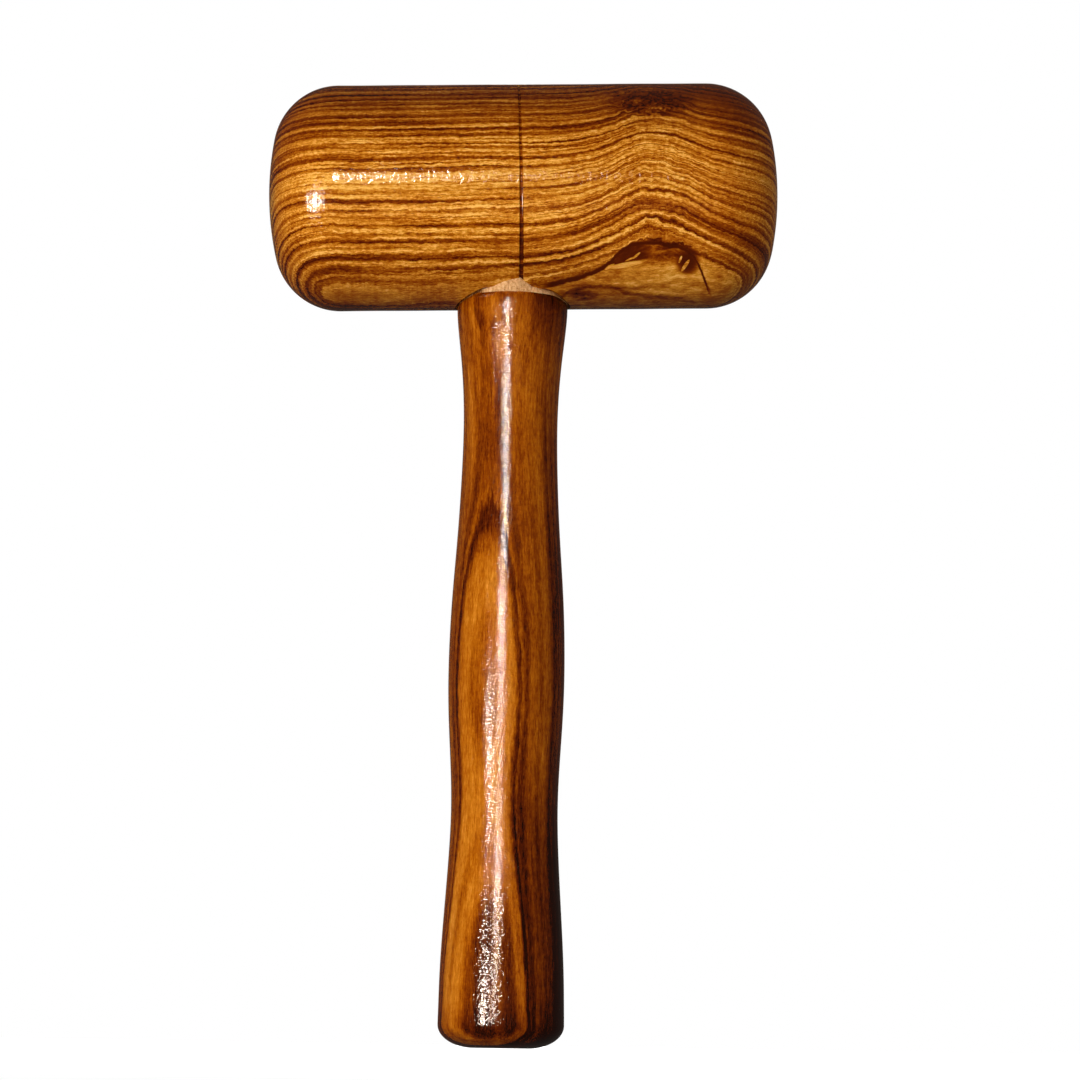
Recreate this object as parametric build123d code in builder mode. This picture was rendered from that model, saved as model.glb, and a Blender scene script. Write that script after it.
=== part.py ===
"""Turned wooden mallet: a barrel head on a wedged round tenon.

Millimetres, +Z up along the handle. The origin is the centre of the flat butt face. The head lies
along X and its striking faces look along -X and +X. The front of the mallet looks along -Y.

The head's mortise is bored a little off square and off centre, as on a mallet bored by hand, so the
head tilts about Y and sits to one side of the handle's axis. Set HEAD_TILT and HEAD_OFFSET to zero
for a square one.
"""

from build123d import *

import os
from math import cos, radians, sin, sqrt

# Head: a barrel with round corners and crowned striking faces
HEAD_DIAMETER = 60.0
HEAD_LENGTH = 135.2
CORNER_RADIUS = 17.6
CROWN_RADIUS = 77.5
HEAD_AXIS_HEIGHT = 224.8
HEAD_OFFSET = 2.4
HEAD_TILT = 1.6
GROOVE_WIDTH = 0.8
GROOVE_DEPTH = 0.5
GROOVE_OFFSET = -1.2

# Handle: radius and height of the turned outline, from the butt to the shoulder
BUTT_RADIUS = 16.4
BUTT_EDGE_WIDTH = 9.2
BUTT_EDGE_HEIGHT = 6.0
FLARE_RADIUS, FLARE_HEIGHT = 15.5, 32.8
HOLLOW_RADIUS, HOLLOW_HEIGHT = 14.05, 59.8
SWELL_RADIUS, SWELL_HEIGHT = 15.25, 93.8
TAPER_RADIUS, TAPER_HEIGHT = 13.75, 131.3
WAIST_RADIUS, WAIST_HEIGHT = 12.55, 162.3
NECK_RADIUS, NECK_HEIGHT = 13.55, 181.8
SHOULDER_RADIUS = 14.6
SHOULDER_ROUNDING = 3.0

# Seat: the flat round recess under the head that the shoulder bears on
SEAT_DEPTH = 2.9
SEAT_CLEARANCE = 0.6

# Joint: round tenon right through the head, spread by a wedge driven in from the top
TENON_RADIUS = 10.0
GLUE_GAP = 0.1
TENON_SPREAD = 1.8
KERF_WIDTH = 1.4
KERF_DEPTH = 40.0
WEDGE_DEPTH = 34.0
WEDGE_WIDTH = 19.2

# Filler: the fillet of glue and sawdust that closes the gap between the shoulder and the round head
FILLER_INNER_RADIUS = 12.3
FILLER_OUTER_RADIUS = 15.5
FILLER_LAP = 0.5
FILLER_INNER_DROP = 1.0
FILLER_OUTER_DROP = 1.3
FILLER_RISE = 1.8

# How far a cutting shape runs past the surface that it cuts
CUT_MARGIN = 0.2
TRIM_MARGIN = 3.0

# Worked out from the driving dimensions
head_radius = HEAD_DIAMETER / 2
groove_left = GROOVE_OFFSET - GROOVE_WIDTH / 2
groove_right = GROOVE_OFFSET + GROOVE_WIDTH / 2
head_centre = Vector(HEAD_OFFSET, 0, HEAD_AXIS_HEIGHT)
tilt = radians(HEAD_TILT)
head_direction = Vector(cos(tilt), 0, sin(tilt))
head_plane = Plane(origin=head_centre, x_dir=head_direction, z_dir=(0, -1, 0))
head_axis = Axis(head_centre, head_direction)
seat_height = HEAD_AXIS_HEIGHT - head_radius + SEAT_DEPTH
seat_radius = SHOULDER_RADIUS + SEAT_CLEARANCE
mortise_radius = TENON_RADIUS + GLUE_GAP
top_height = HEAD_AXIS_HEIGHT + head_radius
trim_height = top_height + TRIM_MARGIN
kerf_foot = top_height - KERF_DEPTH
wedge_foot = top_height - WEDGE_DEPTH
wedge_top_thickness = KERF_WIDTH + 2 * TENON_SPREAD


def outline_of_head():
    """Half of the barrel's outline, above its axis: cylinder, corner arc, crown arc."""
    half_length = HEAD_LENGTH / 2
    crown_centre = half_length - CROWN_RADIUS
    reach = CROWN_RADIUS - CORNER_RADIUS
    rise = head_radius - CORNER_RADIUS
    corner_centre = crown_centre + sqrt(reach**2 - rise**2)
    join_x = crown_centre + (corner_centre - crown_centre) * CROWN_RADIUS / reach
    join_y = rise * CROWN_RADIUS / reach
    barrel_end = (corner_centre, head_radius)
    join = (join_x, join_y)
    tip = (half_length, 0)
    Line((0, head_radius), barrel_end)
    RadiusArc(barrel_end, join, CORNER_RADIUS)
    RadiusArc(join, tip, CROWN_RADIUS)
    mirror(about=Plane.YZ)
    Line((-half_length, 0), (half_length, 0))


def spread_section(height, gap):
    """Oval section of the spread tenon at a height, or of its mortise with a gap round it."""
    share = (height - HEAD_AXIS_HEIGHT) / head_radius
    with BuildSketch(Plane.XY.offset(height)) as section:
        Ellipse(TENON_RADIUS + gap + TENON_SPREAD * share, TENON_RADIUS + gap)
    return section.sketch


def spread_sections(gap):
    """The two ends of the spread half: round at the head's axis, oval above the barrel."""
    return [spread_section(HEAD_AXIS_HEIGHT, gap), spread_section(trim_height, gap)]


def outline_of_opened_kerf(*foot):
    """Outline of the kerf as the wedge opens it, up past the barrel, on the foot's half outline."""
    Polyline(
        *foot,
        (KERF_WIDTH / 2, wedge_foot),
        (wedge_top_thickness / 2, top_height),
        (wedge_top_thickness / 2, trim_height),
        (0, trim_height),
    )
    mirror(about=Plane.YZ)


# The whole barrel before anything is cut in it
with BuildPart() as barrel:
    with BuildSketch(head_plane):
        with BuildLine():
            outline_of_head()
        make_face()
    revolve(axis=head_axis)

# What is trimmed off to leave the top of the joint flush with the barrel
with BuildPart() as space_over_barrel:
    with BuildSketch(Plane.XY.offset(HEAD_AXIS_HEIGHT)):
        Rectangle(HEAD_DIAMETER, HEAD_DIAMETER)
    extrude(amount=HEAD_DIAMETER)
    add(barrel.part, mode=Mode.SUBTRACT)

# Head
with BuildPart() as head:
    add(barrel.part)
    # Turned groove a little off the middle, the layout line for the mortise
    with BuildSketch(head_plane):
        with BuildLine():
            Polyline(
                (groove_left, head_radius + CUT_MARGIN),
                (groove_left, head_radius),
                (GROOVE_OFFSET, head_radius - GROOVE_DEPTH),
                (groove_right, head_radius),
                (groove_right, head_radius + CUT_MARGIN),
                close=True,
            )
        make_face()
    revolve(axis=head_axis, mode=Mode.SUBTRACT)
    # Straight half of the mortise, from below
    with BuildSketch(Plane.XY.offset(HEAD_AXIS_HEIGHT - HEAD_DIAMETER)):
        Circle(mortise_radius)
    extrude(amount=HEAD_DIAMETER, mode=Mode.SUBTRACT)
    # Flared half, filed wider along the grain for the tenon to spread into
    loft(spread_sections(GLUE_GAP), mode=Mode.SUBTRACT)
    # Flat seat for the shoulder
    with BuildSketch(Plane.XY.offset(seat_height - HEAD_DIAMETER)):
        Circle(seat_radius)
    extrude(amount=HEAD_DIAMETER, mode=Mode.SUBTRACT)

# Handle
with BuildPart() as handle:
    with BuildSketch(Plane.XZ):
        with BuildLine():
            butt_flat_radius = BUTT_RADIUS - BUTT_EDGE_WIDTH
            grip_start = (BUTT_RADIUS, BUTT_EDGE_HEIGHT)
            grip_end = (SHOULDER_RADIUS, seat_height - SHOULDER_ROUNDING)
            shoulder_edge = (SHOULDER_RADIUS - SHOULDER_ROUNDING, seat_height)
            Line((0, 0), (butt_flat_radius, 0))
            EllipticalCenterArc(
                (butt_flat_radius, BUTT_EDGE_HEIGHT),
                BUTT_EDGE_WIDTH,
                BUTT_EDGE_HEIGHT,
                start_angle=270,
                arc_size=90,
            )
            Spline(
                grip_start,
                (FLARE_RADIUS, FLARE_HEIGHT),
                (HOLLOW_RADIUS, HOLLOW_HEIGHT),
                (SWELL_RADIUS, SWELL_HEIGHT),
                (TAPER_RADIUS, TAPER_HEIGHT),
                (WAIST_RADIUS, WAIST_HEIGHT),
                (NECK_RADIUS, NECK_HEIGHT),
                grip_end,
                tangents=((0, 1), (0, 1)),
            )
            RadiusArc(grip_end, shoulder_edge, -SHOULDER_ROUNDING)
            Polyline(
                shoulder_edge,
                (TENON_RADIUS, seat_height),
                (TENON_RADIUS, HEAD_AXIS_HEIGHT),
                (0, HEAD_AXIS_HEIGHT),
                (0, 0),
            )
        make_face()
    revolve(axis=Axis.Z)
    # Spread half of the tenon
    loft(spread_sections(0))
    # Saw kerf, opened by the wedge
    with BuildSketch(Plane.XZ):
        with BuildLine():
            outline_of_opened_kerf((0, kerf_foot), (KERF_WIDTH / 2, kerf_foot))
        make_face()
    extrude(amount=HEAD_DIAMETER, both=True, mode=Mode.SUBTRACT)
    add(space_over_barrel.part, mode=Mode.SUBTRACT)

# Wedge
with BuildPart() as wedge:
    with BuildSketch(Plane.XZ):
        with BuildLine():
            outline_of_opened_kerf((0, wedge_foot))
        make_face()
    extrude(amount=WEDGE_WIDTH / 2, both=True)
    add(space_over_barrel.part, mode=Mode.SUBTRACT)

# Filler fillet
with BuildPart() as filler:
    with BuildSketch(Plane.XZ):
        with BuildLine():
            Polyline(
                (FILLER_INNER_RADIUS, seat_height - FILLER_INNER_DROP),
                (SHOULDER_RADIUS - FILLER_LAP, seat_height - FILLER_OUTER_DROP),
                (FILLER_OUTER_RADIUS, seat_height + FILLER_RISE),
                (FILLER_INNER_RADIUS, seat_height + FILLER_RISE),
                close=True,
            )
        make_face()
    revolve(axis=Axis.Z)
    add(head.part, mode=Mode.SUBTRACT)
    add(handle.part, mode=Mode.SUBTRACT)

pieces = {"head": head, "handle": handle, "tenon_wedge": wedge, "filler_fillet": filler}
os.makedirs("parts", exist_ok=True)
for name, piece in pieces.items():
    piece.part.label = name
    export_step(piece.part, f"parts/{name}.step")
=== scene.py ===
"""Looks of the turned wooden mallet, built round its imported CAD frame.

Lengths are in millimetres in the row frame until a mesh is made, and in metres from there on.
Every piece is a dense mesh of its own, with its vertices in the row frame, so the wood's figure,
which is worked out from the place inside the block, runs through the piece as in real timber.
"""

from math import cos, pi, radians, sin, sqrt

import bmesh
import bpy
import numpy as np
from mathutils import Euler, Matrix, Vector


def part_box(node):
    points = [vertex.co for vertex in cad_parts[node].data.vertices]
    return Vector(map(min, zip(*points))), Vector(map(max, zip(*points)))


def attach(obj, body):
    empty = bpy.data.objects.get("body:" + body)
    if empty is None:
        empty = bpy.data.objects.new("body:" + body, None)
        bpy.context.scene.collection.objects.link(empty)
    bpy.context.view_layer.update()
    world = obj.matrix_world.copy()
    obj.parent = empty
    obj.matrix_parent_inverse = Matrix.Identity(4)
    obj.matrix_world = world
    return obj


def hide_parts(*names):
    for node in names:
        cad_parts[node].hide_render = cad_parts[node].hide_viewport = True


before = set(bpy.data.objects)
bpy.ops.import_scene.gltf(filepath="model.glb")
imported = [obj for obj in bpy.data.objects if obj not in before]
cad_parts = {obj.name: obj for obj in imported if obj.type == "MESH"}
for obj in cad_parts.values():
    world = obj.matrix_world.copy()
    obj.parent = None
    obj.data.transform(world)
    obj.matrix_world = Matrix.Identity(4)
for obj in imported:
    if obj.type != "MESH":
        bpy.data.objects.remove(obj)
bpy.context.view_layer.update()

MM = 0.001
NEARLY_CLOSED = 0.001


def box_mm(node):
    """Lowest and highest corner of a CAD node, in millimetres."""
    low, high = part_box(node)
    return np.array(low) / MM, np.array(high) / MM


# Driving dimensions, as in the CAD model; the overall ones come from the frame
head_low, head_high = box_mm("head")
HEAD_TILT = radians(1.6)
HEAD_RADIUS = (head_high[1] - head_low[1]) / 2
HEAD_CENTRE = (head_low + head_high) / 2
CORNER_RADIUS = 17.6
CROWN_RADIUS = 77.5
BOX_HALF_LENGTH = (head_high[0] - head_low[0]) / 2
HALF_LENGTH = CROWN_RADIUS + (BOX_HALF_LENGTH - CROWN_RADIUS) / cos(HEAD_TILT)
GROOVE_PLACE = -1.2
GROOVE_DEPTH = 0.45
GROOVE_WIDTH = 0.95
GROOVE_WIDENING = 0.4
MEAN_WEAR = 0.072

# The grip as (height, radius) knots
GRIP_OUTLINE = (
    (6.0, 16.4), (32.8, 15.5), (59.8, 14.05), (93.8, 15.25),
    (131.3, 13.75), (162.3, 12.55), (181.8, 13.55), (194.7, 14.6),
)
BUTT_EDGE_WIDTH = 9.2
SHOULDER_ROUNDING = 3.0
SEAT_HEIGHT = 197.7
SEAT_RADIUS = 15.2
TENON_RADIUS = 10.0
TENON_SPREAD = 1.8
GLUE_GAP = 0.1
KERF_WIDTH = 1.4
KERF_FOOT = 214.8
KERF_OPEN_HEIGHT = 254.8
KERF_CUT_TOP = 260.0
WEDGE_FOOT = 220.8
WEDGE_STRAIGHT_TOP = 248.0
WEDGE_WIDTH = 19.2

# The head's own axes in the row frame
HEAD_ALONG = np.array((cos(HEAD_TILT), 0, sin(HEAD_TILT)))
HEAD_ACROSS = np.array((0, 1, 0))
HEAD_UP = np.array((-sin(HEAD_TILT), 0, cos(HEAD_TILT)))


# Mesh helpers

def head_to_row(x, y, z):
    """Points given along, across and up from the head's centre, in the row frame."""
    along, across, up = (distance[..., None] for distance in (x, y, z))
    return HEAD_CENTRE + along * HEAD_ALONG + across * HEAD_ACROSS + up * HEAD_UP


def barrel_height(x, y, side=1):
    """Height of the worn barrel's top (side 1) or underside (side -1) over a place."""
    rise = side * np.sqrt((HEAD_RADIUS - MEAN_WEAR) ** 2 - y**2)
    rise = rise + (x - HEAD_CENTRE[0]) * sin(HEAD_TILT)
    return HEAD_CENTRE[2] + rise / cos(HEAD_TILT)


def smooth_step(value, low, high):
    """Rises smoothly from 0 at low to 1 at high."""
    share = np.clip((value - low) / (high - low), 0, 1)
    return share * share * (3 - 2 * share)


def round_ring(angle, r, z):
    """Points round the handle's axis; radius and height are one number or one for each point."""
    r, z, angle = np.broadcast_arrays(r, z, angle)
    return np.stack([r * np.sin(angle), -r * np.cos(angle), z], -1)


def link_mesh(name, vertices, faces):
    """An object in the scene from vertices in millimetres, with its faces turned outwards."""
    mesh = bpy.data.meshes.new(name)
    mesh.from_pydata((vertices * MM).tolist(), [], faces)
    shape = bmesh.new()
    shape.from_mesh(mesh)
    bmesh.ops.recalc_face_normals(shape, faces=shape.faces)
    shape.to_mesh(mesh)
    shape.free()
    piece = bpy.data.objects.new(name, mesh)
    bpy.context.scene.collection.objects.link(piece)
    return piece


def ring_mesh(name, rings):
    """A closed mesh through rings of points; the first and last ring shrink to a single point."""
    rings = np.asarray(rings, float)
    count, around = rings.shape[:2]
    inner = rings[1:-1].reshape(-1, 3)
    vertices = np.vstack([rings[0].mean(0), inner, rings[-1].mean(0)])
    last = len(vertices) - 1
    faces = []
    for j in range(around):
        following = (j + 1) % around
        faces.append((0, 1 + following, 1 + j))
        faces.append((last, last - around + j, last - around + following))
    for i in range(count - 3):
        row = 1 + i * around
        for j in range(around):
            following = (j + 1) % around
            faces.append((row + j, row + following, row + around + following, row + around + j))
    return link_mesh(name, vertices, faces)


def tube_mesh(name, rings):
    """A closed ring-shaped mesh: each ring runs round the handle, and the last joins the first."""
    rings = np.asarray(rings, float)
    count, around = rings.shape[:2]
    faces = []
    for i in range(count):
        row, above = i * around, (i + 1) % count * around
        for j in range(around):
            following = (j + 1) % around
            faces.append((row + j, row + following, above + following, above + j))
    return link_mesh(name, rings.reshape(-1, 3), faces)


def cut(piece, cutter):
    """Takes the cutter's solid out of the piece and removes the cutter."""
    modifier = piece.modifiers.new("cut", "BOOLEAN")
    modifier.operation = "DIFFERENCE"
    modifier.solver = "EXACT"
    modifier.object = cutter
    graph = bpy.context.evaluated_depsgraph_get()
    cut_mesh = bpy.data.meshes.new_from_object(piece.evaluated_get(graph))
    piece.modifiers.clear()
    piece.data = cut_mesh
    bpy.data.objects.remove(cutter)


def finish_piece(piece, material, node, sharp_angle=38):
    """Smooth shading with real edges kept, the material, and the piece's place in the frame."""
    piece.data.materials.clear()
    piece.data.materials.append(material)
    piece.data.shade_smooth()
    piece.data.set_sharp_from_angle(angle=radians(sharp_angle))
    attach(piece, "root")
    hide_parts(node)
    return piece


# Head

HEAD_AROUND = 320
MORTISE_AROUND = 160
CROWN_STATIONS, CORNER_STATIONS = 22, 30
LEFT_STATIONS, RIGHT_STATIONS = 52, 54
GROOVE_REACH, GROOVE_SPACING, GROOVE_MARGIN = 1.2, 0.12, 1.4


def head_outline():
    """Stations along the head's axis with the barrel's radius at each, closer at the groove."""
    corner_rise = HEAD_RADIUS - CORNER_RADIUS
    crown_centre = HALF_LENGTH - CROWN_RADIUS
    reach = CROWN_RADIUS - CORNER_RADIUS
    corner_centre = crown_centre + sqrt(reach**2 - corner_rise**2)
    join_angle = np.arctan2(corner_rise, corner_centre - crown_centre)
    crown_turn = np.linspace(0, join_angle, CROWN_STATIONS)[:-1]
    corner_turn = np.linspace(join_angle, pi / 2, CORNER_STATIONS)
    end_x = np.r_[
        crown_centre + CROWN_RADIUS * np.cos(crown_turn),
        corner_centre + CORNER_RADIUS * np.cos(corner_turn),
    ]
    end_r = np.r_[
        CROWN_RADIUS * np.sin(crown_turn),
        corner_rise + CORNER_RADIUS * np.sin(corner_turn),
    ]
    left = np.linspace(-corner_centre, GROOVE_PLACE - GROOVE_MARGIN, LEFT_STATIONS)[1:]
    groove = np.arange(GROOVE_PLACE - GROOVE_REACH, GROOVE_PLACE + GROOVE_REACH, GROOVE_SPACING)
    right = np.linspace(GROOVE_PLACE + GROOVE_MARGIN, corner_centre, RIGHT_STATIONS)[:-1]
    straight_x = np.r_[left, groove, right]
    x = np.r_[-end_x, straight_x, end_x[::-1]]
    r = np.r_[end_r, np.full(len(straight_x), HEAD_RADIUS), end_r[::-1]]
    return x, r


def head_wear(x, angle):
    """How far the hand-turned barrel falls short of the true one: slow waves, never outwards."""
    along = np.sin(x * 0.13 + 0.6) + 0.7 * np.sin(x * 0.31 + 2.0 + np.cos(angle))
    around = np.sin(3 * angle + x * 0.04) + 0.8 * np.sin(5 * angle - x * 0.07 + 1.0)
    return MEAN_WEAR * (1 + (along + around) / 3.6)


def groove_cut(x, angle):
    """Depth of the scribed groove, narrower on top of the head and wider towards the handle."""
    half_width = 0.5 * (GROOVE_WIDTH - GROOVE_WIDENING * np.sin(angle))
    across = np.clip(1 - ((x - GROOVE_PLACE) / half_width) ** 2, 0, 1)
    return GROOVE_DEPTH * np.sqrt(across)


def mortise_cutter():
    """The through mortise, flared above the head's axis, and the seat for the shoulder."""
    around = np.linspace(0, 2 * pi, MORTISE_AROUND, endpoint=False)
    foot = SEAT_HEIGHT - 2 * HEAD_RADIUS
    axis_height = HEAD_CENTRE[2]
    top = axis_height + 2 * HEAD_RADIUS
    bore = TENON_RADIUS + GLUE_GAP
    stations = (
        (foot, 0, 0), (foot, SEAT_RADIUS, SEAT_RADIUS), (SEAT_HEIGHT, SEAT_RADIUS, SEAT_RADIUS),
        (SEAT_HEIGHT, bore, bore), (axis_height, bore, bore),
        (top, bore + 2 * TENON_SPREAD, bore), (top, 0, 0),
    )
    rings = []
    for height, wide, deep in stations:
        z = np.full(MORTISE_AROUND, height)
        rings.append(np.stack([wide * np.cos(around), deep * np.sin(around), z], -1))
    return ring_mesh("mortise_cutter", rings)


def make_head():
    """The worn barrel with its groove, cut for the tenon and the shoulder."""
    x, r = head_outline()
    angle = np.linspace(0, 2 * pi, HEAD_AROUND, endpoint=False)
    x, angle = np.meshgrid(x, angle, indexing="ij")
    r = r[:, None] - head_wear(x, angle) - groove_cut(x, angle)
    r = np.maximum(r, 0)
    piece = ring_mesh("head", head_to_row(x, -r * np.cos(angle), r * np.sin(angle)))
    cut(piece, mortise_cutter())
    return piece


# Handle

HANDLE_AROUND = 240
GRIP_STATIONS = 226
HANDLE_WEAR = 0.028


def level_end_spline(knots, at):
    """A smooth curve through (place, value) knots with level ends, like the CAD model's."""
    places, values = np.array(knots, float).T
    step = np.diff(places)
    count = len(places)
    system = np.zeros((count, count))
    target = np.zeros(count)
    system[0, 0] = system[-1, -1] = 1
    for i in range(1, count - 1):
        system[i, i - 1] = step[i]
        system[i, i] = 2 * (step[i - 1] + step[i])
        system[i, i + 1] = step[i - 1]
        target[i] = 3 * (
            step[i] * (values[i] - values[i - 1]) / step[i - 1]
            + step[i - 1] * (values[i + 1] - values[i]) / step[i]
        )
    slope = np.linalg.solve(system, target)
    span = np.clip(np.searchsorted(places, at) - 1, 0, count - 2)
    t = (at - places[span]) / step[span]
    return (
        (2 * t**3 - 3 * t**2 + 1) * values[span]
        + (t**3 - 2 * t**2 + t) * step[span] * slope[span]
        + (3 * t**2 - 2 * t**3) * values[span + 1]
        + (t**3 - t**2) * step[span] * slope[span + 1]
    )


def handle_outline():
    """Heights and radii of the handle below the seat: butt, grip, shoulder, flat seat."""
    butt_height, butt_radius = GRIP_OUTLINE[0]
    shoulder_height, shoulder_radius = GRIP_OUTLINE[-1]
    flat_radius = butt_radius - BUTT_EDGE_WIDTH
    butt_r = np.linspace(0, flat_radius, 8)[:-1]
    edge_turn = np.linspace(0, pi / 2, 20)[:-1]
    grip_z = np.linspace(butt_height, shoulder_height, GRIP_STATIONS)
    shoulder_turn = np.linspace(0, pi / 2, 12)[1:]
    seat_r = np.linspace(shoulder_radius - SHOULDER_ROUNDING, TENON_RADIUS, 4)[1:]
    z = np.r_[
        np.zeros(len(butt_r)),
        butt_height * (1 - np.cos(edge_turn)),
        grip_z,
        shoulder_height + SHOULDER_ROUNDING * np.sin(shoulder_turn),
        np.full(len(seat_r), SEAT_HEIGHT),
    ]
    r = np.r_[
        butt_r,
        flat_radius + BUTT_EDGE_WIDTH * np.sin(edge_turn),
        level_end_spline(GRIP_OUTLINE, grip_z),
        shoulder_radius - SHOULDER_ROUNDING * (1 - np.cos(shoulder_turn)),
        seat_r,
    ]
    return z, r


def handle_wear(z, angle):
    """Hand-turned unevenness of the grip, never outwards, and none at the butt and the seat."""
    slow = np.sin(z * 0.19 + 1.3) + 0.8 * np.sin(z * 0.07 + 2 * angle)
    faceted = np.sin(4 * angle + z * 0.05) + 0.7 * np.sin(7 * angle - z * 0.11 + 0.5)
    fade = smooth_step(z, 3, 14) * (1 - smooth_step(z, 186, 194))
    return HANDLE_WEAR * (3.5 + slow + faceted) * fade


def spread_share(z):
    """How far the tenon is spread at a height: 0 up to the head's axis, 1 at the barrel's top."""
    return np.maximum(z - HEAD_CENTRE[2], 0) / HEAD_RADIUS


def kerf_half_width(z):
    """Half the saw cut's width, even below the wedge and opened by it above."""
    driven = (z - WEDGE_FOOT) / (KERF_OPEN_HEIGHT - WEDGE_FOOT)
    return KERF_WIDTH / 2 + TENON_SPREAD * max(0, min(1, driven))


def kerf_cutter():
    """The saw cut's solid, from its foot to past the tenon's top."""
    heights = (KERF_FOOT, KERF_FOOT, WEDGE_FOOT, KERF_OPEN_HEIGHT, KERF_CUT_TOP, KERF_CUT_TOP)
    corners = ((1, 1), (-1, 1), (-1, -1), (1, -1))
    rings = []
    for i, height in enumerate(heights):
        closing = NEARLY_CLOSED if i in (0, len(heights) - 1) else 1
        half_x = kerf_half_width(height) * closing
        half_y = 2 * TENON_RADIUS * closing
        rings.append([(half_x * side_x, half_y * side_y, height) for side_x, side_y in corners])
    return ring_mesh("kerf_cutter", rings)


def tenon_ring(angle, z):
    """A ring of the tenon, which the wedge spreads to the left and the right."""
    wide = TENON_RADIUS + TENON_SPREAD * spread_share(z)
    return np.stack([wide * np.sin(angle), -TENON_RADIUS * np.cos(angle), z], -1)


def tenon_cap_ring(angle, edge_height, shrink):
    """A ring of the tenon's top, which is trimmed flush with the barrel."""
    ring = tenon_ring(angle, edge_height)
    x, y = ring[:, 0] * shrink, ring[:, 1] * shrink
    return np.stack([x, y, barrel_height(x, y)], -1)


def make_handle():
    """Butt, grip, shoulder and seat, then the tenon up to the barrel's top, cut for the wedge."""
    angle = np.linspace(0, 2 * pi, HANDLE_AROUND, endpoint=False)
    z, r = handle_outline()
    z, turn = np.meshgrid(z, angle, indexing="ij")
    r = np.maximum(r[:, None] - handle_wear(z, turn), 0)
    rings = list(round_ring(turn, r, z))
    axis_height = HEAD_CENTRE[2]
    for height in np.linspace(SEAT_HEIGHT, axis_height, 10)[1:]:
        rings.append(tenon_ring(angle, np.full(HANDLE_AROUND, height)))
    top = barrel_height(TENON_RADIUS * np.sin(angle), TENON_RADIUS * np.cos(angle))
    for share in np.linspace(0, 1, 16)[1:]:
        rings.append(tenon_ring(angle, axis_height + share * (top - axis_height)))
    for shrink in np.linspace(1, 0, 10)[1:]:
        rings.append(tenon_cap_ring(angle, top, shrink))
    piece = ring_mesh("handle", rings)
    cut(piece, kerf_cutter())
    return piece


# Wedge

WEDGE_AROUND = 64


def rectangle_ring(half_x, half_y, z):
    """The outline of a rectangle, as evenly turned points that miss its corners a little."""
    angle = np.linspace(0, 2 * pi, WEDGE_AROUND, endpoint=False) + pi / WEDGE_AROUND
    x, y = np.cos(angle), np.sin(angle)
    stretch = 1 / np.maximum(np.abs(x) / half_x, np.abs(y) / half_y)
    return np.stack([x * stretch, y * stretch, np.full(WEDGE_AROUND, z)], -1)


def make_wedge():
    """The wedge in its kerf: thin foot, even taper, top trimmed flush with the barrel."""
    half_y = WEDGE_WIDTH / 2
    foot_half_x = kerf_half_width(WEDGE_FOOT)
    rings = [
        rectangle_ring(foot_half_x * shrink, half_y * shrink, WEDGE_FOOT)
        for shrink in (NEARLY_CLOSED, 0.5, 0.96)
    ]
    for height in np.linspace(WEDGE_FOOT + 0.1, WEDGE_STRAIGHT_TOP, 24):
        rings.append(rectangle_ring(kerf_half_width(height), half_y, height))
    top = rectangle_ring(kerf_half_width(KERF_OPEN_HEIGHT), half_y, 0)
    for shrink in (1, 0.97, 0.8, 0.6, 0.4, 0.2, NEARLY_CLOSED):
        x, y = top[:, 0] * shrink, top[:, 1] * shrink
        rings.append(np.stack([x, y, barrel_height(x, y)], -1))
    return ring_mesh("tenon_wedge", rings)


# Filler

FILLER_AROUND = 720
FILLER_TOP = 196.5
FILLER_THICKNESS = 0.3
FILLER_BULGE = 0.16
FILLER_BACK_RADIUS = 11.8
CRACK_PLACE, CRACK_WIDTH, CRACK_DEPTH = -4.5, 1.1, 0.35
EDGE_ROUGHNESS, FACE_ROUGHNESS = 0.16, 0.08

# Where the smear ends on the barrel, as (angle from the front in degrees, radius)
FILLER_EDGE = (
    (-180, 15.3), (-150, 15.2), (-120, 14.9), (-90, 14.9), (-60, 14.7), (-40, 13.9), (-30, 13.9),
    (-20, 14.6), (-8, 15.4), (5, 16.1), (11, 15.2), (20, 14.0), (38, 13.9), (70, 14.8), (110, 15.0),
    (145, 15.2), (165, 15.9), (180, 15.3),
)


def filler_roughness(angle):
    """Small irregular rise and fall round the ring, the same on each run."""
    waves = ((7, 1.0, 0.4), (13, 0.8, 2.1), (29, 0.7, 1.0), (53, 0.6, 5.0), (97, 0.45, 3.3))
    return sum(size * np.sin(times * angle + start) for times, size, start in waves) / 3.5


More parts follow.
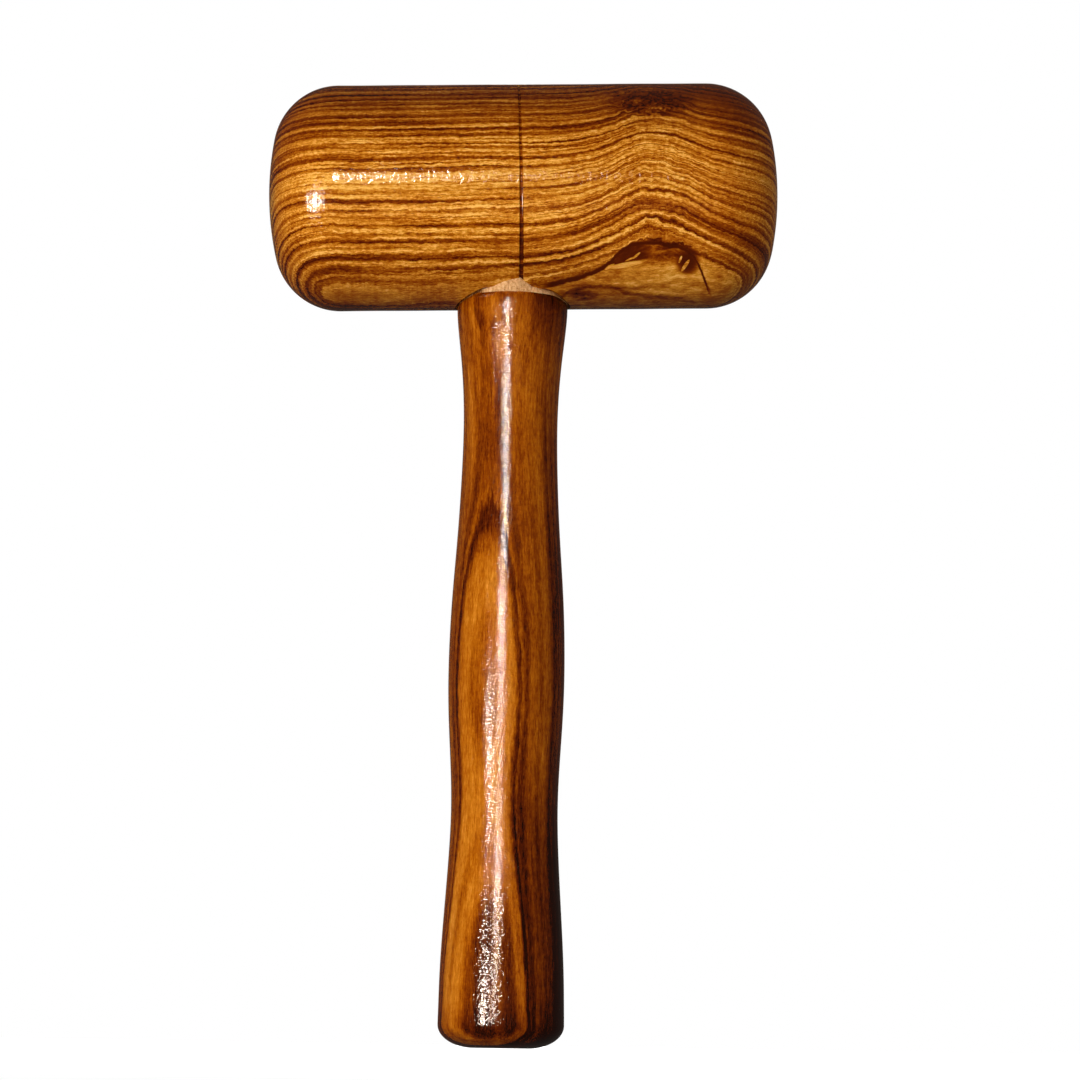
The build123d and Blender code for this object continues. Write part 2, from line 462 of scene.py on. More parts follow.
def make_filler():
    """The smear of filler between the shoulder and the underside of the barrel."""
    angle = np.linspace(-pi, pi, FILLER_AROUND, endpoint=False)
    rough = filler_roughness(angle)

    # Its edge on the barrel and its edge on the shoulder's rounding
    edge_angles, edge_radii = np.array(FILLER_EDGE, float).T
    outer_r = np.interp(np.degrees(angle), edge_angles, edge_radii) + EDGE_ROUGHNESS * rough
    outer_z = barrel_height(outer_r * np.sin(angle), -outer_r * np.cos(angle), side=-1)
    inner_z = np.minimum(FILLER_TOP, outer_z + FILLER_THICKNESS)
    inner_z = inner_z + FACE_ROUGHNESS * np.roll(rough, 90)
    shoulder_height, shoulder_radius = GRIP_OUTLINE[-1]
    rise = np.clip(inner_z - shoulder_height, 0, SHOULDER_ROUNDING)
    inner_r = shoulder_radius - SHOULDER_ROUNDING + np.sqrt(SHOULDER_ROUNDING**2 - rise**2)

    # The slightly bulged face between the edges, with one crack in it
    crack = np.exp(-(((np.degrees(angle) - CRACK_PLACE) / CRACK_WIDTH) ** 2))
    swell = FILLER_BULGE + FACE_ROUGHNESS * np.roll(rough, 31) - CRACK_DEPTH * crack
    face = []
    for share in (0, 0.12, 0.3, 0.5, 0.7, 0.88, 1):
        bulge = sin(pi * share) * swell
        r = inner_r + (outer_r - inner_r) * share + 0.6 * bulge
        z = inner_z + (outer_z - inner_z) * share - bulge
        face.append((r, z))

    # The back of the ring, buried in the joint
    body = [
        (FILLER_BACK_RADIUS, SEAT_HEIGHT - 0.1), (inner_r - 0.4, inner_z + 0.1), *face,
        (outer_r - 0.2, outer_z + 0.5), (FILLER_BACK_RADIUS, SEAT_HEIGHT + 1.2),
    ]
    return tube_mesh("filler_fillet", [round_ring(angle, r, z) for r, z in body])


# Material helpers

VARNISH_IOR = 1.5


class Field:
    """A number that varies over a piece. Arithmetic on it adds math nodes to the material."""

    def __init__(self, graph, socket):
        self.graph = graph
        self.socket = socket

    def __add__(self, other):
        return self.graph.math("ADD", self, other)

    def __sub__(self, other):
        return self.graph.math("SUBTRACT", self, other)

    def __rsub__(self, other):
        return self.graph.math("SUBTRACT", other, self)

    def __mul__(self, other):
        return self.graph.math("MULTIPLY", self, other)

    def __truediv__(self, other):
        return self.graph.math("DIVIDE", self, other)

    def __pow__(self, other):
        return self.graph.math("POWER", self, other)

    def __abs__(self):
        return self.graph.math("ABSOLUTE", self)

    __radd__ = __add__
    __rmul__ = __mul__


class Graph:
    """A material's node tree. Each method adds a node or a few and returns what they give."""

    def __init__(self, name):
        self.material = bpy.data.materials.new(name)
        self.material.use_nodes = True
        self.tree = self.material.node_tree
        self.tree.nodes.clear()

    def add(self, kind, **settings):
        """A new node with its settings."""
        node = self.tree.nodes.new(kind)
        for name, value in settings.items():
            setattr(node, name, value)
        return node

    def feed(self, socket, value):
        """Links a field to a socket, or sets the socket to a plain value."""
        if isinstance(value, Field):
            self.tree.links.new(value.socket, socket)
        else:
            socket.default_value = value

    def math(self, operation, *values):
        """One math operation on fields and numbers."""
        node = self.add("ShaderNodeMath", operation=operation)
        for socket, value in zip(node.inputs, values):
            self.feed(socket, value)
        return Field(self, node.outputs[0])

    def place(self, origin=(0, 0, 0), tilt=0):
        """X, Y and Z in millimetres from an origin, along axes tilted about Y."""
        coordinates = self.add("ShaderNodeTexCoord")
        mapping = self.add("ShaderNodeMapping", vector_type="TEXTURE")
        mapping.inputs["Location"].default_value = Vector(origin) * MM
        mapping.inputs["Rotation"].default_value = (0, -tilt, 0)
        mapping.inputs["Scale"].default_value = (MM, MM, MM)
        self.tree.links.new(coordinates.outputs["Object"], mapping.inputs["Vector"])
        split = self.add("ShaderNodeSeparateXYZ")
        self.tree.links.new(mapping.outputs["Vector"], split.inputs[0])
        return [Field(self, split.outputs[i]) for i in range(3)]

    def noise(self, x, y, z, detail=2.0, roughness=0.5):
        """Smooth noise of a place that is already scaled, mostly from -1 to 1."""
        join = self.add("ShaderNodeCombineXYZ")
        for socket, value in zip(join.inputs, (x, y, z)):
            self.feed(socket, value)
        node = self.add("ShaderNodeTexNoise")
        self.tree.links.new(join.outputs[0], node.inputs["Vector"])
        node.inputs["Scale"].default_value = 1.0
        node.inputs["Detail"].default_value = detail
        node.inputs["Roughness"].default_value = roughness
        return (Field(self, node.outputs["Fac"]) - 0.5) * 4

    def step(self, value, low, high):
        """Rises smoothly from 0 at low to 1 at high; falls if low is the larger."""
        node = self.add("ShaderNodeMapRange", interpolation_type="SMOOTHSTEP")
        self.feed(node.inputs["Value"], value)
        rising = low < high
        node.inputs["From Min"].default_value = min(low, high)
        node.inputs["From Max"].default_value = max(low, high)
        node.inputs["To Min"].default_value = 0.0 if rising else 1.0
        node.inputs["To Max"].default_value = 1.0 if rising else 0.0
        return Field(self, node.outputs["Result"])

    def curve(self, value, points, scale=1.0):
        """A smooth curve through (place, height) points of 0 to scale, level beyond its ends."""
        places = [place for place, _ in points]
        low, span = min(places), max(places) - min(places)
        node = self.add("ShaderNodeFloatCurve")
        line = node.mapping.curves[0]
        while len(line.points) < len(points):
            line.points.new(0.5, 0.5)
        for point, (place, height) in zip(line.points, points):
            point.location = ((place - low) / span, height / scale)
            point.handle_type = "AUTO_CLAMPED"
        node.mapping.use_clip = False
        node.mapping.extend = "HORIZONTAL"
        node.mapping.update()
        self.feed(node.inputs["Value"], (value - low) / span)
        return Field(self, node.outputs["Value"]) * scale

    def largest(self, *fields):
        """The largest of a few fields at each place."""
        result = fields[0]
        for field in fields[1:]:
            result = self.math("MAXIMUM", result, field)
        return result

    def spot(self, x, y, z, centre, radii):
        """1 at a centre and fading to 0 at its radii."""
        terms = [((axis - middle) / radius) ** 2
                 for axis, middle, radius in zip((x, y, z), centre, radii)]
        return self.step(terms[0] + terms[1] + terms[2], 1.0, 0.0)

    def streak(self, x, z, stroke):
        """1 inside a slanted ellipse seen from the front, given as centre, angle and half sizes."""
        centre_x, centre_z, angle, half_length, half_width = stroke
        turn = radians(angle)
        along = (x - centre_x) * cos(turn) + (z - centre_z) * sin(turn)
        across = (z - centre_z) * cos(turn) - (x - centre_x) * sin(turn)
        return self.step((along / half_length) ** 2 + (across / half_width) ** 2, 1.0, 0.5)

    def ramp(self, value, stops):
        """Colours blended between (place, colour) stops."""
        node = self.add("ShaderNodeValToRGB")
        elements = node.color_ramp.elements
        while len(elements) < len(stops):
            elements.new(0.5)
        for element, (place, colour) in zip(elements, stops):
            element.position = place
            element.color = (*colour, 1)
        self.feed(node.inputs[0], value)
        return Field(self, node.outputs["Color"])

    def bump(self, height_mm):
        """A normal from a height in millimetres."""
        node = self.add("ShaderNodeBump")
        node.inputs["Strength"].default_value = 1.0
        node.inputs["Distance"].default_value = MM
        self.feed(node.inputs["Height"], height_mm)
        return Field(self, node.outputs["Normal"])

    def surface(self, colour, normal, roughness, coat, coat_roughness):
        """The finished material: a matt body under a clear coat."""
        shader = self.add("ShaderNodeBsdfPrincipled")
        self.feed(shader.inputs["Base Color"], colour)
        self.feed(shader.inputs["Roughness"], roughness)
        self.feed(shader.inputs["Normal"], normal)
        shader.inputs["Specular IOR Level"].default_value = 0.0
        shader.inputs["Coat Weight"].default_value = coat
        shader.inputs["Coat Roughness"].default_value = coat_roughness
        shader.inputs["Coat IOR"].default_value = VARNISH_IOR
        self.feed(shader.inputs["Coat Normal"], normal)
        output = self.add("ShaderNodeOutputMaterial")
        self.tree.links.new(shader.outputs[0], output.inputs["Surface"])
        return self.material


def srgb(red, green, blue):
    """A display colour of 0 to 255 as the linear colour that shaders use."""
    shares = (red / 255, green / 255, blue / 255)
    return tuple(s / 12.92 if s <= 0.04045 else ((s + 0.055) / 1.055) ** 2.4 for s in shares)


# Wood of the head, in millimetres from its centre along its own axes

# The growth layers are rings round the tree's pith, and the front layer is one of them
PITH_ACROSS, PITH_UP = -32.0, -90.0
FRONT_LAYER = 90.02
# The buried branch: its place along the head, and how far inside the front layer it starts
RIDGE_PLACE = 33.0
BURIED_LAYER = 27.0

# Dark growth layers: (distance from the front layer, strength, half width)
HEAD_LAYERS = (
    (-23.5, 0.6, 0.5), (-22.7, 0.5, 0.4), (-21.8, 0.7, 0.5), (-20.2, 0.85, 0.8), (-18.5, 0.5, 0.7),
    (-17.0, 0.95, 0.8), (-15.7, 0.6, 0.6), (-13.7, 0.65, 0.9), (-12.3, 0.3, 0.5),
    (-10.3, 0.55, 0.8), (-7.4, 0.4, 0.8), (-5.1, 0.45, 0.8), (-3.1, 0.25, 0.5), (0.7, 0.55, 0.8),
    (3.4, 0.85, 0.9), (4.8, 0.45, 0.5), (6.5, 0.7, 0.7), (7.6, 0.7, 0.6), (10.2, 0.7, 1.0),
    (11.8, 0.8, 0.9), (14.2, 0.65, 0.9), (16.4, 0.8, 0.9), (18.8, 0.65, 0.9), (20.3, 0.7, 0.7),
    (22.2, 0.85, 0.9), (23.9, 0.75, 0.8), (26.6, 0.65, 0.9), (28.4, 0.75, 0.8), (31.1, 0.7, 1.0),
    (33.5, 0.65, 0.9),
)

# How far the layers rise over the buried branch, along the head
RIDGE_RISE = (
    (-67, 0.2), (-30, 0.2), (-4, 0.4), (10, 1.6), (16, 3.2), (22, 6.4), (27, 11.2), (33, 15.2),
    (37, 13.2), (41, 10.4), (46, 5.8), (51, 3.0), (58, 1.2), (67, 0.3),
)
# How much of that rise is left with distance outwards from where the branch starts
RIDGE_FADE = ((0, 1), (10, 0.97), (20, 0.88), (27, 0.78), (38, 0.62), (60, 0.3))

# Heights over the barrel's lowest line, along the head: the arch's outline and a line under it
ARCH_OUTLINE = (
    (2, 2.6), (8.8, 3.9), (15, 5.2), (20.5, 7.0), (24.5, 10.2), (27.5, 11.7), (32.5, 12.2),
    (37, 11.9), (42.5, 9.9), (45, 7.2), (47, 4.0), (49, 1.6), (54, 0.0),
)
UNDER_LINE = ((2, 0.2), (8.5, 1.0), (13, 2.5), (20, 3.1), (27, 1.8), (40, 0.8), (50, 0.3))

# Pale flecks by the arch: (along the head, height, angle, half length, half width)
FLECKS = (
    (26.0, -22.6, 8, 5.2, 0.62), (21.8, -23.0, 25, 1.6, 0.40), (28.7, -20.6, 35, 1.4, 0.32),
    (27.2, -21.3, 20, 1.8, 0.22), (41.6, -22.8, 51, 1.8, 0.50), (40.2, -21.5, 65, 1.0, 0.32),
)

HEAD_COLOURS = (
    (0.0, srgb(64, 16, 0)), (0.2, srgb(94, 30, 0)), (0.4, srgb(130, 54, 0)),
    (0.6, srgb(170, 90, 10)), (0.8, srgb(214, 138, 38)), (1.0, srgb(244, 184, 86)),
)


def layer_points(layers):
    """Curve points of dark layers: each one rises from nothing to its strength and falls again."""
    points = []
    for place, strength, half_width in layers:
        left, right = place - half_width, place + half_width
        if points and left <= points[-1][0]:
            middle = (left + points[-1][0]) / 2
            points[-1] = (middle, 0.3 * strength)
        else:
            points.append((left, 0.0))
        points.append((place, strength))
        points.append((right, 0.0))
    return points


def head_layer_field(graph, x, y, z):
    """Distance from the front growth layer; layers bend over the buried branch at the ridge."""
    from_pith = graph.math("SQRT", (y - PITH_ACROSS) ** 2 + (z - PITH_UP) ** 2)
    flat = from_pith - FRONT_LAYER
    inside = graph.math("MAXIMUM", flat + BURIED_LAYER, 0.0)
    ridge = graph.curve(x, RIDGE_RISE, 16.0)
    filled = 1 - graph.math("EXPONENT", inside / ridge * -1.0)
    front_share = graph.step(y, 14, -6) * 0.6 + 0.4
    return flat - ridge * filled * graph.curve(inside, RIDGE_FADE) * front_share * 0.9


def arch_marks(graph, x, y, z, jitter, swirl, wobble):
    """The arch over the branch: shares of its burr, shade, dark parts, lower line and flecks."""
    front = graph.step(y, 4, -4)
    under_arch = graph.step(abs(x - 29.0), 26.0, 22.0) * front
    from_foot = z + HEAD_RADIUS

    rise = from_foot - graph.curve(x, ARCH_OUTLINE, 13.0) + wobble
    burr = graph.step(rise, -0.3, -1.0) * under_arch
    outline = graph.step(abs(rise), 0.7, 0.25) * graph.step(x, 49.5, 47.0) * under_arch

    # The thick left leg between the outline and a gentler line below it, and the right patch
    leg_foot = z + 23.2 - (x - 20.9) * 0.15 + wobble
    leg_span = graph.step(x, 15.0, 19.0) * graph.step(x + swirl * 1.6 + jitter, 34.0, 29.0)
    leg = graph.step(rise, 0.2, -0.3) * graph.step(leg_foot, 0.0, 0.6) * leg_span
    strokes = graph.noise(x * 0.5 + z * 0.2, z * 1.4 - x * 0.6, y * 0.3, detail=2)
    patch = graph.spot(x, y, z, (42.2, -20, -21.8), (3.8, 9, 4.0))
    dark = graph.largest(leg * (strokes * 0.16 + 0.88), patch, outline) * front
    shade = graph.spot(x, y, z, (36.0, -22, -19.6), (9.0, 8, 4.6))

    under_rise = from_foot - graph.curve(x, UNDER_LINE, 3.2) + wobble * 0.6
    under_line = graph.step(abs(under_rise), 0.5, 0.1) * graph.step(x, 48, 36) * under_arch
    flecks = graph.largest(*(graph.streak(x, z, fleck) for fleck in FLECKS))
    return burr, shade, dark, under_line, flecks * (0.8 + jitter * 0.4) * front


def heartwood_and_painted_shade(graph, x, z, layer, lower_left_shade):
    """Share of its tone that the wood keeps: less in the inner layers, which are darker heartwood,
    and painted shade at the ends, the top right and the low left.
    """
    # Painted shade: darker at the top right, both ends and the low left, where the light from the
    # front left falls off
    top_right_shade = graph.step(x, 4, 34) * graph.step(z, 8, 24)
    right_end_shade, left_end_shade = graph.step(x, 30, 58), graph.step(x, -52, -64)
    inner_layers = graph.step(layer, 7, 20)
    return (1 - inner_layers * 0.22 - right_end_shade * 0.14) * (
        1 - top_right_shade * 0.18 - lower_left_shade * 0.22 - left_end_shade * 0.10)


def groove_mark(graph, x, z):
    """1 in the scribed groove, as wide as the mesh's."""
    half_width = 0.5 * (GROOVE_WIDTH - GROOVE_WIDENING * z / HEAD_RADIUS)
    return graph.step(abs(x - GROOVE_PLACE) / half_width, 1.05, 0.6)


def head_grain(graph, x, y, z, layer, near_ridge):
    """Tone of the straight grain, and the fibre and pores that the surface's height follows too."""
    dark_layers = graph.curve(layer, layer_points(HEAD_LAYERS))
    strength = graph.noise(x * 0.05, layer * 0.5 + 20.0, z * 0.04, detail=3) * 0.28 + 0.95
    lines = graph.noise(layer * 1.5, x * 0.015, z * 0.015, detail=2, roughness=0.6)
    fine_lines = graph.noise(layer * 3.2, x * 0.10, z * 0.06, detail=1, roughness=0.6)
    bands = graph.noise(layer * 0.23 + 4.0, x * 0.008, z * 0.01, detail=1)
    glow = graph.noise(x * 0.05 + 3.0, y * 0.07, z * 0.07, detail=2)
    fibre = graph.noise(x * 0.7, y * 2.2, z * 2.2, detail=3, roughness=0.8)
    cross_figure = graph.noise(x * 1.3, layer * 0.35, z * 0.2, detail=2)
    pore = graph.step(graph.noise(x * 0.5 + 9.0, y * 3.6, z * 3.6, detail=1), 0.6, 1.0)
    tone = 0.83 - dark_layers * strength * 0.60
    tone = tone - graph.step(lines, 0.0, 0.7) * 0.34 + graph.step(lines, 0.0, -1.0) * 0.10
    tone = tone + fine_lines * 0.16 + bands * 0.07 + glow * 0.09 + fibre * 0.27
    tone = tone + cross_figure * (near_ridge * 0.06 + 0.05) - pore * 0.22
    return tone, fibre, pore


def head_wood():
    """Varnished rosewood with a buried branch, its arch and two knots on the right."""
    graph = Graph("head_rosewood")
    x, y, z = graph.place(HEAD_CENTRE, HEAD_TILT)
    near_ridge = graph.step(abs(x - RIDGE_PLACE), 18, 2) * graph.step(y, 0, -16)
    # Painted shade on the head's underside at the left
    lower_left_shade = graph.step(x, 6, -14) * graph.step(z, -24, -29)
    upper_knot = graph.spot(x, y, z, (33, -22, 20.5), (14, 10, 7))
    eye = graph.spot(x, y, z, (15, -9, -28.5), (5, 4, 3))
    knots = graph.largest(upper_knot, eye)

    # Slow wander of the layers, fine crinkle by the branch, and the swirl of the knots
    wander = graph.noise(x * 0.03, y * 0.05, z * 0.05, detail=1)
    crinkle = graph.noise(x * 0.30, y * 0.14, z * 0.14, detail=3, roughness=0.55)
    swirl = graph.noise(x * 0.22 + 7.0, y * 0.25, z * 0.25, detail=2, roughness=0.6)
    jitter = graph.noise(x * 0.5, y * 1.1, z * 1.1, detail=3, roughness=0.65)
    wobble = jitter * 0.22 + crinkle * 0.16
    layer = head_layer_field(graph, x, y, z) + wander * 0.5 + crinkle * (near_ridge * 0.45 + 0.14)
    burr, shade, dark, under_line, flecks = arch_marks(graph, x, y, z, jitter, swirl, wobble)
    burr = graph.largest(burr, graph.step(layer, -24.4, -25.6))
    layer = layer + jitter * 0.28 + swirl * knots * 3.6

    tone, fibre, pore = head_grain(graph, x, y, z, layer, near_ridge)
    # Heartwood and painted shade over the head
    tone = tone * heartwood_and_painted_shade(graph, x, z, layer, lower_left_shade)

    # Pale curly burr under the arch, and the arch's marks
    curl = graph.noise(x * 0.20, y * 0.5 + swirl * 0.6, z * 0.5, detail=3, roughness=0.65)
    pale = graph.spot(x, y, z, (41, -16, -25), (20, 16, 9))
    streaks = graph.noise(x * 0.03, y * 0.5, z * 0.5 + 2.0, detail=3)
    # The burr's plain wood is darker at the low left too: painted shade
    plain = 0.58 + curl * 0.26 + fibre * 0.16 + pale * 0.18 + streaks * 0.10 - lower_left_shade * 0.16
    tone = tone + (plain - tone) * burr * 0.9
    tone = tone - shade * (0.26 - curl * 0.16) - under_line * 0.26
    tone = tone - dark * tone * 0.92
    tone = tone + (0.94 - tone) * flecks

    # Knots and groove
    knot_dark = graph.step(graph.noise(x * 0.3, y * 0.4, z * 0.4 + 5.0, detail=3), -0.9, 0.3)
    tone = tone - knots * knot_dark * 0.40 - groove_mark(graph, x, z) * (0.34 - z * 0.011)
    height = turning_marks(graph, x, y, z) - pore * 0.012 + fibre * 0.002
    return graph.surface(graph.ramp(tone, HEAD_COLOURS), graph.bump(height),
                         roughness=0.42, coat=0.9, coat_roughness=0.07)


def turning_marks(graph, x, y, z):
    """Height in millimetres of the faint rings that turning and sanding left under the varnish."""
    rings = graph.noise(x * 0.7, y * 0.06, z * 0.06, detail=1)
    skin = graph.noise(x * 0.5, y * 0.5, z * 0.5, detail=2)
    specks = graph.noise(x * 1.1, y * 1.0, z * 1.0, detail=1)
    return rings * 0.022 + skin * 0.008 + specks * 0.014


# Wood of the handle, in millimetres in the row frame

HANDLE_TURN = radians(-24)
HANDLE_SLANT = 0.0165
SLANT_MIDDLE = 80.0
# Compass direction of a painted reflection: a dark reddish streak down the handle's front
REFLECTION_TURN = radians(-15)

# Dark growth layers, as for the head
HANDLE_LAYERS = (
    (-11.5, 0.5, 1.2), (-6.5, 0.6, 1.5), (-2.0, 0.35, 1.2), (0.5, 0.3, 0.9), (3.4, 0.35, 1.6),
    (7.4, 0.2, 0.9), (9.2, 0.2, 0.8), (10.9, 0.5, 1.5), (11.9, 0.75, 0.9), (14.6, 0.2, 0.6),
)

HANDLE_COLOURS = (
    (0.0, srgb(40, 8, 0)), (0.2, srgb(84, 26, 0)), (0.4, srgb(130, 56, 0)),
    (0.6, srgb(170, 90, 6)), (0.8, srgb(204, 124, 28)), (1.0, srgb(232, 162, 70)),
)


def towards(x, y, turn):
    """Distance from the handle's axis in a compass direction from the front."""
    return x * sin(turn) - y * cos(turn)


def handle_wood():
    """Varnished rosewood with a golden oval on the front and a darker heart behind it."""
    graph = Graph("handle_rosewood")
    x, y, z = graph.place()
    slant = (z - SLANT_MIDDLE) * HANDLE_SLANT
    wander = graph.noise(z * 0.02, x * 0.06, y * 0.06, detail=2)
    streak_jitter = graph.noise(z * 0.15, x * 1.0, y * 1.0, detail=3, roughness=0.65)
    layer = towards(x, y, HANDLE_TURN) - slant + wander * 0.25 + streak_jitter * 0.25

    # The golden oval, the darker heart behind it and the dark layers between them
    below_neck = graph.step(z, 176, 156)
    golden = graph.step(layer, 12.3, 12.9) * below_neck
    heart = graph.step(layer, 4.6, 2.6) * graph.step(z, 185, 120)
    # Painted reflection: a dark reddish streak down the front of the foot
    painted_reflection_streak = graph.step(towards(x, y, REFLECTION_TURN) - slant + wander * 0.5, 15.0, 16.4)
    dark_layers = graph.curve(layer, layer_points(HANDLE_LAYERS)) * (below_neck * 0.5 + 0.5)
    tone = 0.53 + golden * 0.13 - heart * 0.26 - painted_reflection_streak * 0.36 - dark_layers * 0.46

    # Darker heartwood at the foot, and darker at its front right; a painted reflection, a dark
    # reddish streak, in its middle; painted shade round the neck under the head
    foot = graph.step(z, 72, 12) * graph.step(layer, 10.5, 4)
    foot_right = graph.step(z, 84, 34) * graph.step(x, -1.5, 3.0) * graph.step(y, 4, -6)
    # More of the painted reflection, left of the gleam at the foot
    foot_painted_reflection = graph.spot(x, y, z, (-4.5, -14, 12), (3.6, 9, 34))
    # Darker towards the butt's rounded edge
    butt_darkening = graph.step(z, 13, 2)
    # Painted shade: the band just under the head and the right of the neck
    neck_painted_shade = graph.step(z, 176, 192) * graph.step(x, 2, 9) + graph.step(z, 191, 196) * 0.4
    tone = tone - foot * 0.17 - foot_right * 0.20 - foot_painted_reflection * 0.10
    tone = tone - butt_darkening * 0.16 - neck_painted_shade * 0.24

    # Grain
    lines = graph.noise(layer * 0.9, z * 0.008, x * 0.03, detail=3, roughness=0.6)
    glow = graph.noise(z * 0.03 + 3.0, x * 0.12, y * 0.12, detail=2)
    streaks = graph.noise(z * 0.04 + 8.0, x * 0.55, y * 0.55, detail=3, roughness=0.6)
    neck_left = graph.step(z, 150, 178) * graph.step(x, 3, -3)
    fibre = graph.noise(z * 0.35, x * 2.2, y * 2.2, detail=3, roughness=0.8)
    cross_figure = graph.noise(z * 1.2, x * 0.5, y * 0.5, detail=2)
    pore = graph.step(graph.noise(z * 0.4 + 9.0, x * 3.6, y * 3.6, detail=1), 0.7, 1.1)
    tone = tone + lines * 0.09 + glow * 0.06 + streaks * (neck_left * 0.12 + 0.09)
    tone = tone + fibre * 0.20 + cross_figure * 0.03 - pore * 0.18

    # Lathe marks and brush marks under the varnish
    lathe = graph.noise(z * 0.5, x * 0.04, y * 0.04, detail=2)
    skin = graph.noise(x * 0.4, y * 0.4, z * 0.4, detail=2)
    specks = graph.noise(x * 1.4, y * 1.4, z * 1.8, detail=1)
    height = lathe * 0.012 + skin * 0.010 + specks * 0.024 + fibre * 0.004 - pore * 0.012
    return graph.surface(graph.ramp(tone, HANDLE_COLOURS), graph.bump(height),
                         roughness=0.42, coat=0.9, coat_roughness=0.065)


# Wood of the wedge

def wedge_wood():
    """Pale plain wood with fine dark flecks."""
    graph = Graph("wedge_beech")
    x, y, z = graph.place()
    lines = graph.noise(x * 1.3, y * 0.3, z * 0.02, detail=3)
    flecks = graph.step(graph.noise(x * 4.0, y * 4.0, z * 0.3, detail=1), 0.2, 0.5)
    tone = 0.6 + lines * 0.35 - flecks * 0.3
    colour = graph.ramp(tone, (
        (0.0, srgb(120, 76, 34)), (0.5, srgb(178, 126, 66)), (1.0, srgb(214, 168, 106)),
    ))
    return graph.surface(colour, graph.bump(lines * 0.01 - flecks * 0.01),
                         roughness=0.45, coat=0.9, coat_roughness=0.12)


# Filler paste

def filler_paste():
    """Matt pinkish paste, clean only on the front of the joint, with painted shadow at its right.
    """
    graph = Graph("filler_paste")
    x, y, z = graph.place()
    strands = graph.noise(x * 2.2, y * 1.2, z * 0.5, detail=3, roughness=0.6)
    grain = graph.noise(x * 3.0, y * 3.0, z * 3.0, detail=3, roughness=0.65)
    # Rubbed down to a stained film with pale specks left: most at the left, least at the back; at
    # the right the darkening is painted contact shadow
    speck = graph.step(graph.noise(x * 0.9, y * 0.9, z * 0.9, detail=2), 0.5, 0.9)
    left_film = graph.step(x + strands * 0.3, -7.8, -8.6)
    # Painted contact shadow where the head shades the right of the joint
    right_painted_shadow = graph.step(x, 8.5, 12.5) * 0.6
    back_film = graph.step(y, 2, 8) * 0.5
    film_and_painted_shadow = graph.largest(left_film, right_painted_shadow, back_film)
    tone = 0.66 + strands * 0.28 + grain * 0.24 - film_and_painted_shadow * (0.52 - speck * 0.45)
    colour = graph.ramp(tone, (
        (0.0, srgb(96, 48, 16)), (0.2, srgb(142, 86, 42)), (0.45, srgb(190, 132, 78)),
        (0.7, srgb(222, 168, 112)), (1.0, srgb(242, 204, 158)),
    ))
    return graph.surface(colour, graph.bump(strands * 0.05 + grain * 0.04),
                         roughness=0.75, coat=0.15, coat_roughness=0.4)


# Stage, lights and camera

CAMERA_PLACE = (-16.1, -974.4, 0.95)
CAMERA_TURN = (97.703, -0.867, -1.548)
CAMERA_LENS = 124.497
FLOOR_SIZE = 6
FLOOR_GLOW = 0.98
HIGHEST_AIM = 200
ROOM_COLOUR = (0.055, 0.048, 0.043, 1)
GLEAM_COLOUR = (1.0, 0.86, 0.72)
WHITE = (1, 1, 1, 1)

# Every light is (name, azimuth from the front, height, distance, size, power)

# Broad soft light that shapes the wood
SOFT_LIGHTS = (
    ("key", -27, 60, 1100, (700, 500), 15.5),
    ("bounce", -10, 10, 500, (500, 160), 0.8),
    ("front_fill", 30, 150, 1500, (1200, 900), 1.6),
    ("back_fill", 165, 950, 1300, (1200, 1200), 30),
    ("right_fill", 112, 250, 1300, (900, 900), 6),
    ("left_fill", -118, 250, 1300, (900, 900), 5),
)

# What the head mirrors: a window in front, a lamp at the left, a window straight behind it
HEAD_GLEAMS = (
    ("head_window", -8.8, 338, 800, (44, 76), 1.3),
    ("head_window_faint", -3.6, 338, 800, (120, 60), 0.2),
    ("head_lamp", -43, 30, 800, (260, 220), 7.0),
    ("head_lamp_glow", -43, 30, 800, (460, 340), 3.0),
    ("head_back_window", 178.7, 430, 900, (200, 40), 0.6),
)

# What the handle mirrors: a tall window in front, a lamp at the left, a window straight behind it
HANDLE_GLEAMS = (
    ("handle_window_high", -10.5, 310, 800, (14, 60), 2.4),
    ("handle_window", -12, 200, 800, (15, 180), 1.9),
    ("handle_window_low", -14.5, 60, 800, (26, 90), 0.9),
    ("handle_lamp", -34, 20, 800, (70, 60), 4.0),
    ("handle_back_window", 179, 200, 900, (16, 300), 0.5),
)


def make_camera():
    """A long lens level with the mallet's foot, looking slightly up at it."""
    camera_data = bpy.data.cameras.new("camera")
    camera_data.lens = CAMERA_LENS
    camera = bpy.data.objects.new("camera", camera_data)
    camera.location = Vector(CAMERA_PLACE) * MM
    camera.rotation_euler = Euler([radians(a) for a in CAMERA_TURN])
    bpy.context.scene.collection.objects.link(camera)
    bpy.context.scene.camera = camera


def make_floor():
    """A plain white floor that glows like the backdrop, so that shadows on it stay weak."""
    bpy.ops.mesh.primitive_plane_add(size=FLOOR_SIZE)
    floor = bpy.context.object
    floor.name = "floor"
    graph = Graph("floor_white")
    shader = graph.add("ShaderNodeBsdfPrincipled")
    shader.inputs["Base Color"].default_value = (0.8, 0.8, 0.8, 1)
    shader.inputs["Roughness"].default_value = 1.0
    shader.inputs["Specular IOR Level"].default_value = 0.0
    shader.inputs["Emission Color"].default_value = WHITE
    shader.inputs["Emission Strength"].default_value = FLOOR_GLOW
    output = graph.add("ShaderNodeOutputMaterial")
    graph.tree.links.new(shader.outputs[0], output.inputs["Surface"])
    floor.data.materials.append(graph.material)
    floor.visible_glossy = False
    floor.visible_diffuse = False


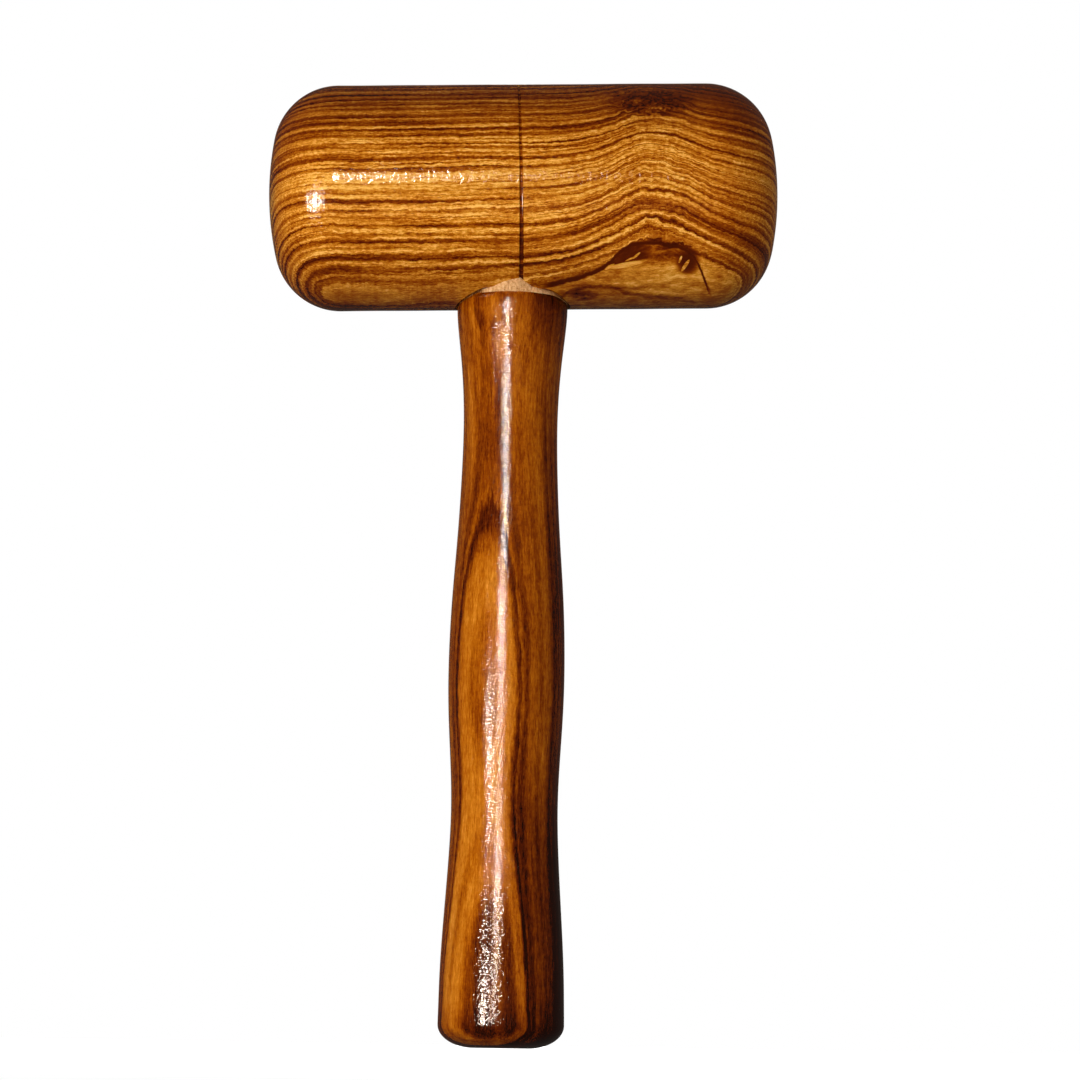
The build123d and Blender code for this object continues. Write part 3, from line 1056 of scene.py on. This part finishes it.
def make_world():
    """White to the eye, dim to what the varnish reflects."""
    world = bpy.data.worlds.new("studio")
    world.use_nodes = True
    tree = world.node_tree
    tree.nodes.clear()
    rays = tree.nodes.new("ShaderNodeLightPath")
    room = tree.nodes.new("ShaderNodeBackground")
    room.inputs["Color"].default_value = ROOM_COLOUR
    paper = tree.nodes.new("ShaderNodeBackground")
    paper.inputs["Color"].default_value = WHITE
    blend = tree.nodes.new("ShaderNodeMixShader")
    output = tree.nodes.new("ShaderNodeOutputWorld")
    tree.links.new(rays.outputs["Is Camera Ray"], blend.inputs[0])
    tree.links.new(room.outputs[0], blend.inputs[1])
    tree.links.new(paper.outputs[0], blend.inputs[2])
    tree.links.new(blend.outputs[0], output.inputs["Surface"])
    bpy.context.scene.world = world


def make_light(name, azimuth, height, distance, size, power):
    """A soft box at a compass angle from the front and a height, turned to the mallet."""
    light_data = bpy.data.lights.new(name, "AREA")
    light_data.shape = "RECTANGLE" if max(size) > 2 * min(size) else "ELLIPSE"
    light_data.size, light_data.size_y = size[0] * MM, size[1] * MM
    light_data.energy = power
    light = bpy.data.objects.new(name, light_data)
    turn = radians(azimuth)
    place = Vector((sin(turn) * distance, -cos(turn) * distance, height)) * MM
    target = Vector((0, 0, min(height, HIGHEST_AIM))) * MM
    light.location = place
    light.rotation_euler = (target - place).to_track_quat("-Z", "Y").to_euler()
    light.visible_glossy = False
    light.visible_camera = False
    bpy.context.scene.collection.objects.link(light)
    return light


def make_gleam(piece, name, azimuth, height, distance, size, power):
    """A lamp that shows only as a gleam in the varnish of one piece."""
    light = make_light(name, azimuth, height, distance, size, power)
    light.data.color = GLEAM_COLOUR
    light.visible_diffuse = False
    light.visible_glossy = True
    lit = bpy.data.collections.new(name + "_lit")
    lit.objects.link(piece)
    light.light_linking.receiver_collection = lit


def make_lights():
    """The soft lights on everything, and the gleams on their own pieces."""
    for light in SOFT_LIGHTS:
        make_light(*light)
    for piece, gleams in ((head, HEAD_GLEAMS), (handle, HANDLE_GLEAMS)):
        for gleam in gleams:
            make_gleam(piece, *gleam)


# The scene

head = finish_piece(make_head(), head_wood(), "head")
handle = finish_piece(make_handle(), handle_wood(), "handle")
wedge = finish_piece(make_wedge(), wedge_wood(), "tenon_wedge")
filler = finish_piece(make_filler(), filler_paste(), "filler_fillet", sharp_angle=60)

make_floor()
make_world()
make_lights()
make_camera()
bpy.context.scene.view_settings.view_transform = "Standard"
